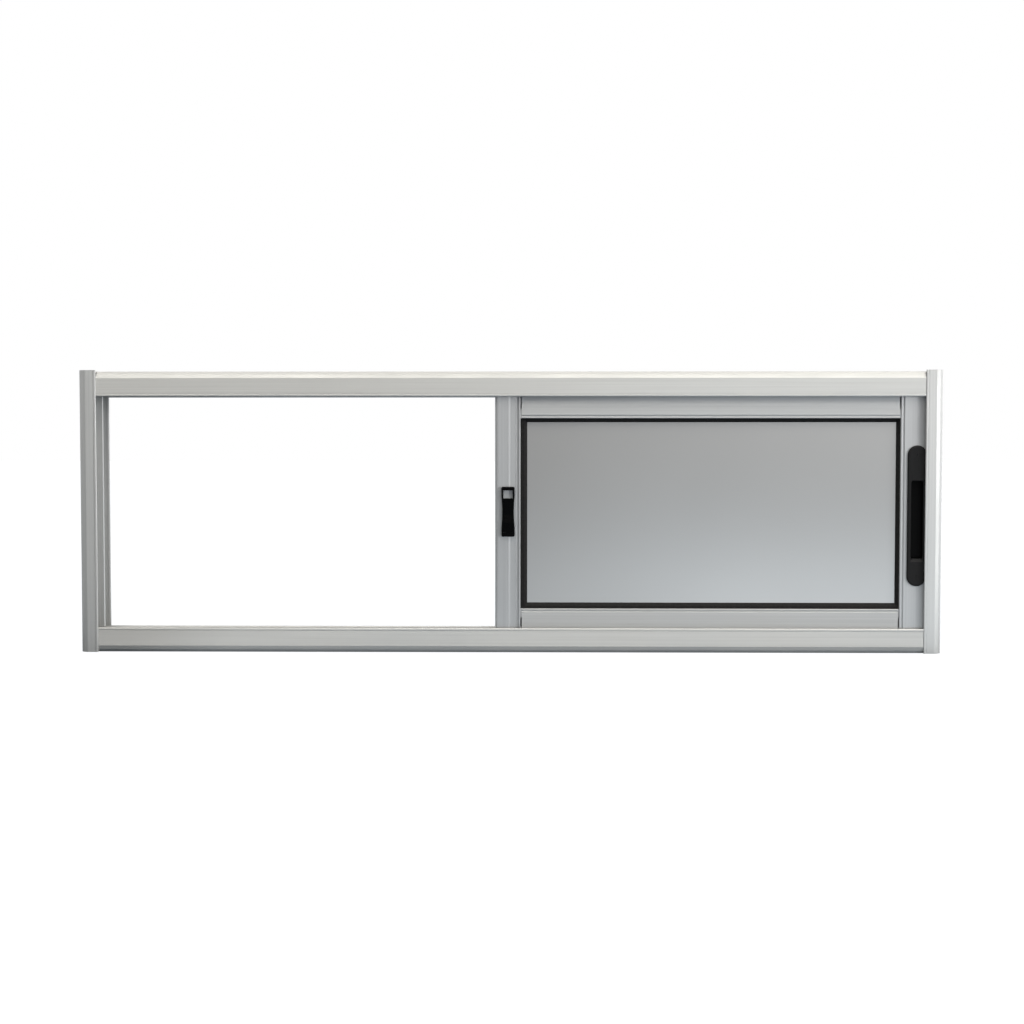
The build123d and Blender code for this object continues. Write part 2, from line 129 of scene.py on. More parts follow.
class WindowFinishes(bpy.types.PropertyGroup):
    """Colours and gloss of the window's materials."""

    frame_colour: bpy.props.FloatVectorProperty(
        name="Frame colour",
        description="Anodised aluminium of the jambs, head and sill",
        subtype="COLOR",
        default=(0.63, 0.63, 0.62),
        min=0.0,
        max=1.0,
    )
    # Painted shade: the sashes are the frame's anodised aluminium, made darker to stand in for the shade
    # on them where they sit back behind the frame.
    sash_colour_with_painted_shade: bpy.props.FloatVectorProperty(
        name="Sash colour",
        description="Anodised aluminium of the stiles and rails",
        subtype="COLOR",
        default=(0.51, 0.515, 0.52),
        min=0.0,
        max=1.0,
    )
    glass_colour: bpy.props.FloatVectorProperty(
        name="Glass colour",
        description="Grey obscured glass",
        subtype="COLOR",
        default=(0.62, 0.62, 0.617),
        min=0.0,
        max=1.0,
    )
    gasket_colour: bpy.props.FloatVectorProperty(
        name="Gasket colour",
        description="Black glazing rubber",
        subtype="COLOR",
        default=(0.018, 0.018, 0.018),
        min=0.0,
        max=1.0,
    )
    hardware_colour: bpy.props.FloatVectorProperty(
        name="Hardware colour",
        description="Black powder coat of the flush handles",
        subtype="COLOR",
        default=(0.018, 0.018, 0.019),
        min=0.0,
        max=1.0,
    )
    latch_colour: bpy.props.FloatVectorProperty(
        name="Latch colour",
        description="Black moulding of the latch",
        subtype="COLOR",
        default=(0.0005, 0.0005, 0.0008),
        min=0.0,
        max=1.0,
    )
    nylon_colour: bpy.props.FloatVectorProperty(
        name="Nylon colour",
        description="Rollers and guides",
        subtype="COLOR",
        default=(0.62, 0.61, 0.57),
        min=0.0,
        max=1.0,
    )
    pile_colour: bpy.props.FloatVectorProperty(
        name="Pile colour",
        description="Grey wool pile of the seals",
        subtype="COLOR",
        default=(0.05, 0.05, 0.052),
        min=0.0,
        max=1.0,
    )
    aluminium_roughness: bpy.props.FloatProperty(
        name="Aluminium roughness",
        description="Middle roughness of the satin anodising",
        subtype="FACTOR",
        default=0.5,
        min=0.0,
        max=1.0,
    )


class WindowFittings(bpy.types.PropertyGroup):
    """Sizes of the screws and pile seals."""

    screw_radius: bpy.props.FloatProperty(
        name="Screw head radius",
        description="Radius of the handle screws' heads",
        unit="LENGTH",
        default=0.0017,
    )
    screw_height: bpy.props.FloatProperty(
        name="Screw head height",
        description="Height of the handle screws' heads over their seats",
        unit="LENGTH",
        default=0.0009,
    )
    screw_spacing: bpy.props.FloatProperty(
        name="Screw spacing",
        description="Distance between the two screws of a handle",
        unit="LENGTH",
        default=0.170,
    )
    screw_seat: bpy.props.FloatProperty(
        name="Screw seat depth",
        description="Depth of the screw seats under the handle's face",
        unit="LENGTH",
        default=0.0012,
    )
    flange_depth: bpy.props.FloatProperty(
        name="Flange depth",
        description="Depth of the frame's front flanges, from the front of the bead to the inner face",
        unit="LENGTH",
        default=0.0021,
    )
    pile_backing: bpy.props.FloatProperty(
        name="Pile backing width",
        description="Width of the strip that the pile is woven on",
        unit="LENGTH",
        default=0.0048,
    )
    pile_backing_thickness: bpy.props.FloatProperty(
        name="Pile backing thickness",
        description="Thickness of the strip that the pile is woven on",
        unit="LENGTH",
        default=0.0008,
    )
    pile_thickness: bpy.props.FloatProperty(
        name="Pile thickness",
        description="Thickness of the brush of fibres",
        unit="LENGTH",
        default=0.0026,
    )
    pile_inset: bpy.props.FloatProperty(
        name="Pile inset",
        description="Distance of the pile from the free edge of its flange",
        unit="LENGTH",
        default=0.0045,
    )
    pile_tuft: bpy.props.FloatProperty(
        name="Tuft length",
        description="Length of each tuft along the pile",
        unit="LENGTH",
        default=0.004,
    )
    pile_raggedness: bpy.props.FloatProperty(
        name="Pile raggedness",
        description="How far the ends of the fibres stray",
        unit="LENGTH",
        default=0.0005,
    )
    pile_touch: bpy.props.FloatProperty(
        name="Pile clearance",
        description="Gap between the pile and the sash",
        unit="LENGTH",
        default=0.0006,
    )


class WindowStudio(bpy.types.PropertyGroup):
    """Camera, lights, floor and white surroundings."""

    camera_place: bpy.props.FloatVectorProperty(
        name="Camera place",
        description="Where the camera stands",
        subtype="TRANSLATION",
        default=(0.0387, -2.3048, 0.2973),
    )
    camera_turn: bpy.props.FloatVectorProperty(
        name="Camera turn",
        description="Rotation of the camera",
        subtype="EULER",
        default=(1.526558, -0.000168, 0.015443),
    )
    camera_lens: bpy.props.FloatProperty(
        name="Lens",
        description="Focal length in millimetres",
        subtype="DISTANCE_CAMERA",
        default=57.41,
    )
    camera_sensor: bpy.props.FloatProperty(
        name="Sensor",
        description="Width of the camera's sensor in millimetres",
        subtype="DISTANCE_CAMERA",
        default=36.0,
    )
    key_place: bpy.props.FloatVectorProperty(
        name="Key place",
        description="Where the softbox overhead hangs",
        subtype="TRANSLATION",
        default=(0.6, -2.7, 3.9),
    )
    key_size: bpy.props.FloatVectorProperty(
        name="Key size",
        description="Width and height of the softbox overhead",
        size=2,
        unit="LENGTH",
        default=(8.0, 3.0),
    )
    key_colour: bpy.props.FloatVectorProperty(
        name="Key colour",
        description="Warm white of the softbox overhead",
        subtype="COLOR",
        default=(1.0, 0.97, 0.90),
        min=0.0,
        max=1.0,
    )
    key_power: bpy.props.FloatProperty(
        name="Key power",
        description="Power of the softbox overhead",
        unit="POWER",
        default=275.0,
    )
    side_place: bpy.props.FloatVectorProperty(
        name="Side place",
        description="Where the softbox at the right stands",
        subtype="TRANSLATION",
        default=(3.8, -2.4, 0.5),
    )
    side_size: bpy.props.FloatVectorProperty(
        name="Side size",
        description="Width and height of the softbox at the right",
        size=2,
        unit="LENGTH",
        default=(2.2, 2.0),
    )
    side_colour: bpy.props.FloatVectorProperty(
        name="Side colour",
        description="White of the softbox at the right",
        subtype="COLOR",
        default=(1.0, 1.0, 1.0),
        min=0.0,
        max=1.0,
    )
    side_power: bpy.props.FloatProperty(
        name="Side power",
        description="Power of the softbox at the right",
        unit="POWER",
        default=85.0,
    )
    room_front: bpy.props.FloatProperty(
        name="Room in front",
        description="Brightness of the soft light from the room in front of the window",
        default=0.08,
        min=0.0,
    )
    gloss_left: bpy.props.FloatProperty(
        name="Gloss at the left",
        description="Share of the white surroundings that metal and glass mirror from the front left",
        subtype="FACTOR",
        default=0.85,
        min=0.0,
        max=1.0,
    )
    gloss_front: bpy.props.FloatProperty(
        name="Gloss in front",
        description="Share of the white surroundings that the metal and glass mirror from ahead",
        subtype="FACTOR",
        default=0.27,
        min=0.0,
        max=1.0,
    )
    gloss_right: bpy.props.FloatProperty(
        name="Gloss at the right",
        description="Share of the white surroundings that metal and glass mirror from the front right",
        subtype="FACTOR",
        default=0.85,
        min=0.0,
        max=1.0,
    )
    room_behind: bpy.props.FloatProperty(
        name="Room behind",
        description="Brightness of the soft light from the pale backdrop behind the window",
        default=0.7,
        min=0.0,
    )
    floor_glow: bpy.props.FloatProperty(
        name="Floor glow",
        description="What is added to the lit floor near the window where it is seen, to make it white",
        default=0.94,
        min=0.0,
    )
    # Floor shine and floor tone set the strength and tint of the floor's painted glow, which metal and
    # glass mirror.
    floor_shine: bpy.props.FloatProperty(
        name="Floor shine",
        description="Brightness of the lit floor in front, as the glass and the metal mirror it",
        default=1.0,
        min=0.0,
    )
    floor_tone: bpy.props.FloatVectorProperty(
        name="Floor tone",
        description="Cool white of the floor, as the metal mirrors it",
        subtype="COLOR",
        default=(0.88, 0.95, 1.0),
        min=0.0,
        max=1.0,
    )
    floor_colour: bpy.props.FloatVectorProperty(
        name="Floor colour",
        description="Plain pale floor",
        subtype="COLOR",
        default=(0.08, 0.10, 0.125),
        min=0.0,
        max=1.0,
    )


class NodeSketch:
    """A material's node tree, filled from left to right."""

    def __init__(self, name):
        self.material = bpy.data.materials.new(name)
        self.material.use_nodes = True
        self.tree = self.material.node_tree
        self.shader = self.tree.nodes["Principled BSDF"]
        self.output = self.tree.nodes["Material Output"]

    def add(self, kind, **values):
        node = self.tree.nodes.new(kind)
        for key, value in values.items():
            setattr(node, key, value)
        return node

    def link(self, source, target):
        self.tree.links.new(source, target)

    def set(self, **values):
        for key, value in values.items():
            self.shader.inputs[key.replace("_", " ")].default_value = value

    def axis(self, name):
        """One of the object's own coordinates."""
        place = self.add("ShaderNodeTexCoord")
        axes = self.add("ShaderNodeSeparateXYZ")
        self.link(place.outputs["Object"], axes.inputs[0])
        return axes.outputs[name]

    def join(self, operation, first, second):
        """Puts two nodes' outputs together in one value."""
        node = self.add("ShaderNodeMath", operation=operation)
        self.link(first, node.inputs[0])
        self.link(second, node.inputs[1])
        return node.outputs[0]

    def noise(self, scale, stretch=(1.0, 1.0, 1.0), detail=3.0):
        """Noise on the object's own coordinates, drawn out by stretch."""
        place = self.add("ShaderNodeTexCoord")
        mapping = self.add("ShaderNodeMapping")
        mapping.inputs["Scale"].default_value = stretch
        texture = self.add("ShaderNodeTexNoise")
        texture.inputs["Scale"].default_value = scale
        texture.inputs["Detail"].default_value = detail
        self.link(place.outputs["Object"], mapping.inputs["Vector"])
        self.link(mapping.outputs["Vector"], texture.inputs["Vector"])
        return texture.outputs["Fac"]

    def spread(self, source, low=0.0, high=1.0, start=0.3, stop=0.7):
        """Maps a stretch of a value, such as the middle of a noise, to a range of values."""
        node = self.add("ShaderNodeMapRange")
        for name, value in (("From Min", start), ("From Max", stop), ("To Min", low), ("To Max", high)):
            node.inputs[name].default_value = value
        self.link(source, node.inputs["Value"])
        return node.outputs["Result"]

    def tint(self, factor, colour, darker, lighter):
        """Shades a colour between two strengths of itself."""
        mix = self.add("ShaderNodeMix", data_type="RGBA")
        mix.inputs["A"].default_value = (*[channel * darker for channel in colour], 1.0)
        mix.inputs["B"].default_value = (*[min(channel * lighter, 1.0) for channel in colour], 1.0)
        self.link(factor, mix.inputs["Factor"])
        self.link(mix.outputs["Result"], self.shader.inputs["Base Color"])

    def bump(self, height, strength, distance):
        node = self.add("ShaderNodeBump")
        node.inputs["Strength"].default_value = strength
        node.inputs["Distance"].default_value = distance
        self.link(height, node.inputs["Height"])
        self.link(node.outputs["Normal"], self.shader.inputs["Normal"])


def satin_aluminium(name, colour, roughness, axis, stretch, wall_face=None):
    """Anodised extrusion: fine die lines along its axis, which draw the gloss out across them.

    Over the height wall_face, where the profile goes against the wall, the face is left dull.
    """
    sketch = NodeSketch(name)
    sketch.set(Metallic=0.7, Anisotropic=0.75)
    around = sketch.add("ShaderNodeTangent", direction_type="RADIAL", axis=axis)
    sketch.link(around.outputs["Tangent"], sketch.shader.inputs["Tangent"])
    lines = sketch.noise(scale=1.0, stretch=stretch, detail=4.0)
    clouds = sketch.noise(scale=9.0, detail=2.0)
    sketch.tint(sketch.spread(lines), colour, darker=0.95, lighter=1.05)
    rough = sketch.spread(clouds, low=roughness - 0.05, high=roughness + 0.05)
    if wall_face is not None:
        start, stop = [wall_face + depth for depth in WALL_FACE_FADE]
        dull = sketch.spread(sketch.axis("Z"), low=0.0, high=0.4, start=start, stop=stop)
        rough = sketch.join("ADD", rough, dull)
    sketch.link(rough, sketch.shader.inputs["Roughness"])
    sketch.bump(lines, strength=0.08, distance=0.0001)
    return sketch.material


def grey_glass(name, colour):
    """Smooth obscured glass with a faintly uneven body."""
    sketch = NodeSketch(name)
    sketch.set(Metallic=0.6, Roughness=0.2, IOR=1.6, Transmission_Weight=0.1)
    body = sketch.noise(scale=5.0, detail=1.0)
    sketch.tint(sketch.spread(body), colour, darker=0.985, lighter=1.015)
    sketch.bump(sketch.noise(scale=900.0, detail=2.0), strength=0.03, distance=0.0002)
    return sketch.material


def black_rubber(name, colour):
    """Matt glazing rubber with a little dust on it."""
    sketch = NodeSketch(name)
    sketch.set(Specular_IOR_Level=0.06)
    grain = sketch.noise(scale=350.0, detail=4.0)
    sketch.tint(sketch.spread(grain), colour, darker=0.8, lighter=1.3)
    sketch.link(sketch.spread(grain, low=0.45, high=0.6), sketch.shader.inputs["Roughness"])
    sketch.bump(grain, strength=0.15, distance=0.0002)
    return sketch.material


def black_coating(name, colour, face):
    """Lightly textured black powder coat on a handle's face, with painted shade that darkens its pocket
    to near black with depth.
    """
    sketch = NodeSketch(name)
    sketch.set(Specular_IOR_Level=0.08)
    grain = sketch.noise(scale=1400.0, detail=3.0)
    # Painted shade: the colour fades to near black deeper in the pocket, standing in for the shade inside
    # it.
    start, stop = [face + depth for depth in POCKET_PAINTED_SHADE]
    coat = sketch.spread(sketch.axis("Y"), low=1.0, high=0.05, start=start, stop=stop)
    shade = sketch.join("MULTIPLY", sketch.spread(grain, low=0.7), coat)
    sketch.tint(shade, colour, darker=0.03, lighter=1.25)
    sketch.link(sketch.spread(grain, low=0.36, high=0.5), sketch.shader.inputs["Roughness"])
    sketch.bump(grain, strength=0.12, distance=0.0001)
    return sketch.material


def black_moulding(name, colour):
    """Smooth black plastic with a faint grain."""
    sketch = NodeSketch(name)
    sketch.set(Specular_IOR_Level=0.08)
    grain = sketch.noise(scale=900.0, detail=2.0)
    sketch.tint(sketch.spread(grain), colour, darker=0.8, lighter=1.2)
    sketch.link(sketch.spread(grain, low=0.25, high=0.33), sketch.shader.inputs["Roughness"])
    sketch.bump(grain, strength=0.05, distance=0.0001)
    return sketch.material


def moulded_nylon(name, colour):
    """Plain moulded nylon, a little uneven in tone."""
    sketch = NodeSketch(name)
    sketch.set(Roughness=0.45, Subsurface_Weight=0.05)
    patches = sketch.noise(scale=120.0, detail=2.0)
    sketch.tint(sketch.spread(patches), colour, darker=0.93, lighter=1.05)
    sketch.bump(patches, strength=0.05, distance=0.0002)
    return sketch.material


def wool_pile(name, colour):
    """Dense short fibres across the strip."""
    sketch = NodeSketch(name)
    sketch.set(Roughness=0.95, Sheen_Weight=0.2)
    fibres = sketch.noise(scale=1.0, stretch=PILE_FIBRES, detail=2.0)
    sketch.tint(sketch.spread(fibres), colour, darker=0.5, lighter=1.7)
    sketch.bump(fibres, strength=0.6, distance=0.0004)
    return sketch.material


def blackened_steel(name, colour):
    """Screw heads."""
    sketch = NodeSketch(name)
    sketch.set(Metallic=0.6)
    marks = sketch.noise(scale=1800.0, detail=3.0)
    sketch.tint(sketch.spread(marks), colour, darker=0.4, lighter=0.9)
    sketch.link(sketch.spread(marks, low=0.3, high=0.45), sketch.shader.inputs["Roughness"])
    return sketch.material


def dress(names, material):
    """Gives solids of the frame a material in place of the plain one."""
    for name in names:
        solid = nodes[name]
        solid.data.materials.clear()
        solid.data.materials.append(material)


def start_clean():
    """Leaves edit mode and deselects everything."""
    if bpy.context.mode != "OBJECT":
        bpy.ops.object.mode_set(mode="OBJECT")
    bpy.ops.object.select_all(action="DESELECT")


def only(piece):
    """Makes one object the selected and active one."""
    start_clean()
    piece.select_set(True)
    bpy.context.view_layer.objects.active = piece


def pick(piece, kind, test):
    """In edit mode, selects just the faces, edges or verts that pass a test."""
    bpy.ops.mesh.select_mode(type=kind.upper())
    bpy.ops.mesh.select_all(action="DESELECT")
    sketch = bmesh.from_edit_mesh(piece.data)
    for part in {"face": sketch.faces, "edge": sketch.edges, "vert": sketch.verts}[kind]:
        part.select_set(test(part))
    sketch.select_flush_mode()
    bmesh.update_edit_mesh(piece.data)


def settle(piece, material):
    """Puts a piece's place into its mesh, and lets it ride on the window."""
    only(piece)
    bpy.ops.object.transform_apply(location=True, rotation=True, scale=True)
    piece.data.materials.clear()
    piece.data.materials.append(material)
    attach(piece, "root")


def add_cross_screw(name, place, radius, height):
    """A pan head that faces the room, with a crossed recess."""
    start_clean()
    upright = (math.radians(90), 0.0, 0.0)
    bpy.ops.mesh.primitive_cylinder_add(
        vertices=SCREW_SIDES, radius=radius, depth=height, location=place, rotation=upright
    )
    head = bpy.context.object
    head.name = name
    bpy.ops.object.transform_apply(location=True, rotation=True, scale=True)
    front = place[1] - height / 2
    bpy.ops.object.mode_set(mode="EDIT")
    pick(head, "edge", lambda edge: all(abs(vert.co.y - front) < 1e-6 for vert in edge.verts))
    bpy.ops.mesh.bevel(offset=SCREW_ROUNDING * height, segments=SCREW_ROUNDING_STEPS, affect="EDGES")
    start_clean()
    arm = RECESS_HALF_WIDTH * radius
    bpy.ops.mesh.primitive_cube_add(size=2 * arm, location=(place[0], front, place[2]))
    cutter = bpy.context.object
    bpy.ops.object.transform_apply(location=True, rotation=True, scale=True)
    bpy.ops.object.mode_set(mode="EDIT")
    for axis in (0, 2):
        for side in (-1, 1):
            pick(cutter, "face", lambda face: face.normal[axis] * side > 0.9)
            reach = [0.0, 0.0, 0.0]
            reach[axis] = side * RECESS_ARM * radius
            bpy.ops.mesh.extrude_region_move(TRANSFORM_OT_translate={"value": reach})
    start_clean()
    only(head)
    recess = head.modifiers.new("Recess", "BOOLEAN")
    recess.operation = "DIFFERENCE"
    recess.object = cutter
    bpy.ops.object.modifier_apply(modifier=recess.name)
    bpy.data.objects.remove(cutter)
    only(head)
    bpy.ops.object.shade_smooth_by_angle(angle=SCREW_SHARP)
    return head


def copy_to(piece, name, move):
    """A copy of a piece with its own mesh, moved from where the first one is."""
    only(piece)
    bpy.ops.object.duplicate(linked=False)
    twin = bpy.context.object
    twin.name = name
    bpy.ops.transform.translate(value=move)
    return twin


def add_pile_strip(name, low, high, along, fit, seed):
    """A strip of pile: a flat backing on a flange, with a brush that reaches out to the sash."""
    start_clean()
    backing = fit.pile_backing_thickness
    size = [b - a for a, b in zip(low, high)]
    brush = size[1] - backing
    size[1] = backing
    middle = [(a + b) / 2 for a, b in zip(low, high)]
    middle[1] = low[1] + backing / 2
    bpy.ops.mesh.primitive_cube_add(size=1.0, location=middle)
    strip = bpy.context.object
    strip.name = name
    strip.scale = size
    bpy.ops.object.transform_apply(location=True, rotation=True, scale=True)
    bpy.ops.object.mode_set(mode="EDIT")
    pick(strip, "face", lambda face: face.normal.y > 0.9)
    bpy.ops.mesh.extrude_region_move(TRANSFORM_OT_translate={"value": (0.0, 0.0, 0.0)})
    narrow = [1.0, 1.0, 1.0]
    narrow[2 - along] = fit.pile_thickness / fit.pile_backing
    bpy.ops.transform.resize(value=narrow, center_override=middle)
    for share in BRUSH_STEPS:
        bpy.ops.mesh.extrude_region_move(TRANSFORM_OT_translate={"value": (0.0, share * brush, 0.0)})
    half = size[along] / 2
    pick(strip, "edge", lambda edge: abs(edge.verts[0].co[along] - edge.verts[1].co[along]) > half)
    bpy.ops.mesh.subdivide(number_cuts=int(size[along] / fit.pile_tuft))
    pick(strip, "vert", lambda vert: vert.co.y > high[1] - backing / 2)
    bpy.ops.transform.vertex_random(offset=fit.pile_raggedness, seed=seed)
    only(strip)
    bpy.ops.object.shade_smooth_by_angle(angle=PILE_SHARP)
    return strip


class WINDOW_OT_frame_finish(bpy.types.Operator):
    """Finish the jambs, head and sill in satin anodised aluminium"""

    bl_idname = "window.frame_finish"
    bl_label = "Frame finish"

    def execute(self, context):
        look = context.scene.window_finishes
        finish = (look.frame_colour, look.aluminium_roughness)
        upright = satin_aluminium("Frame aluminium upright", *finish, "Z", UPRIGHT_LINES)
        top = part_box("head")[1].z
        level = satin_aluminium("Frame aluminium level", *finish, "X", LEVEL_LINES, wall_face=top)
        dress(UPRIGHT_FRAME, upright)
        dress(LEVEL_FRAME, level)
        return {"FINISHED"}


class WINDOW_OT_sash_finish(bpy.types.Operator):
    """Finish the stiles and rails of both sashes in satin anodised aluminium, darkened with painted shade
    """

    bl_idname = "window.sash_finish"
    bl_label = "Sash finish"

    def execute(self, context):
        look = context.scene.window_finishes
        # The sash colour is darker than the frame's as painted shade.
        finish = (look.sash_colour_with_painted_shade, look.aluminium_roughness)
        upright = satin_aluminium("Sash aluminium upright", *finish, "Z", UPRIGHT_LINES)
        level = satin_aluminium("Sash aluminium level", *finish, "X", LEVEL_LINES)
        dress(UPRIGHT_SASH, upright)
        dress(LEVEL_SASH, level)
        return {"FINISHED"}


class WINDOW_OT_glazing_finish(bpy.types.Operator):
    """Finish the grey glass and its black gaskets"""

    bl_idname = "window.glazing_finish"
    bl_label = "Glazing finish"

    def execute(self, context):
        look = context.scene.window_finishes
        dress([f"{sash}_glass" for sash in SASHES], grey_glass("Grey glass", look.glass_colour))
        dress([f"{sash}_gasket" for sash in SASHES], black_rubber("Gasket rubber", look.gasket_colour))
        return {"FINISHED"}


class WINDOW_OT_hardware_finish(bpy.types.Operator):
    """Finish the handles, the latch, the rollers and the guides"""

    bl_idname = "window.hardware_finish"
    bl_label = "Hardware finish"

    def execute(self, context):
        look = context.scene.window_finishes
        for sash in SASHES:
            handle = f"{sash}_flush_handle"
            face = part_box(handle)[0].y
            dress([handle], black_coating(f"Black {sash} handle", look.hardware_colour, face))
        dress(["latch_case", "latch_thumb_slide"], black_moulding("Black moulding", look.latch_colour))
        nylon = moulded_nylon("Nylon", look.nylon_colour)
        dress([f"{sash}_{part}" for sash in SASHES for part in ("rollers", "top_guides")], nylon)
        return {"FINISHED"}


class WINDOW_OT_handle_screws(bpy.types.Operator):
    """Seat a crossed screw at each end of both flush handles"""

    bl_idname = "window.handle_screws"
    bl_label = "Handle screws"

    def execute(self, context):
        look = context.scene.window_finishes
        fit = context.scene.window_fittings
        steel = blackened_steel("Blackened steel", look.hardware_colour)
        first = None
        for sash in SASHES:
            low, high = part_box(f"{sash}_flush_handle")
            middle = (low + high) / 2
            seat = low.y + fit.screw_seat
            for label, side in (("lower", -1), ("upper", 1)):
                place = (middle.x, seat - fit.screw_height / 2, middle.z + side * fit.screw_spacing / 2)
                name = f"{sash}_handle_screw_{label}"
                if first is None:
                    screw = first = add_cross_screw(name, place, fit.screw_radius, fit.screw_height)
                    start = place
                else:
                    screw = copy_to(first, name, [a - b for a, b in zip(place, start)])
                settle(screw, steel)
        return {"FINISHED"}


class WINDOW_OT_pile_seals(bpy.types.Operator):
    """Line the flanges and dividers with pile seals that brush the sashes"""

    bl_idname = "window.pile_seals"
    bl_label = "Pile seals"

    def execute(self, context):
        look = context.scene.window_finishes
        fit = context.scene.window_fittings
        pile = wool_pile("Wool pile", look.pile_colour)
        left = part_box("left_jamb")[1].x
        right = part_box("right_jamb")[0].x
        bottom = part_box("sill_front_flange")[1].z
        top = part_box("head_front_flange")[0].z
        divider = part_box("head_divider")[1].y
        strips = []
        for place, along, edge, inwards, flange in (
            ("head", 0, top, 1, "head_front_flange"),
            ("sill", 0, bottom, -1, "sill_front_flange"),
            ("left_jamb", 2, left, -1, "left_jamb"),
            ("right_jamb", 2, right, 1, "right_jamb"),
        ):
            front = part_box(flange)[0].y + fit.flange_depth
            strips.append((f"pile_seal_{place}_front", along, edge, inwards, front, "front_sash"))
            if place == "sill":
                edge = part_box("sill_divider")[1].z
            strips.append((f"pile_seal_{place}_middle", along, edge, inwards, divider, "rear_sash"))
        for seed, (name, along, edge, inwards, wall, sash) in enumerate(strips):
            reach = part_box(f"{sash}_lock_stile")[0].y - fit.pile_touch
            steps = (fit.pile_inset, fit.pile_inset + fit.pile_backing)
            width = sorted(edge + inwards * step for step in steps)
            if along == 0:
                low, high = (left, wall, width[0]), (right, reach, width[1])
            else:
                low, high = (width[0], wall, bottom), (width[1], reach, top)
            settle(add_pile_strip(name, low, high, along, fit, seed), pile)
        return {"FINISHED"}


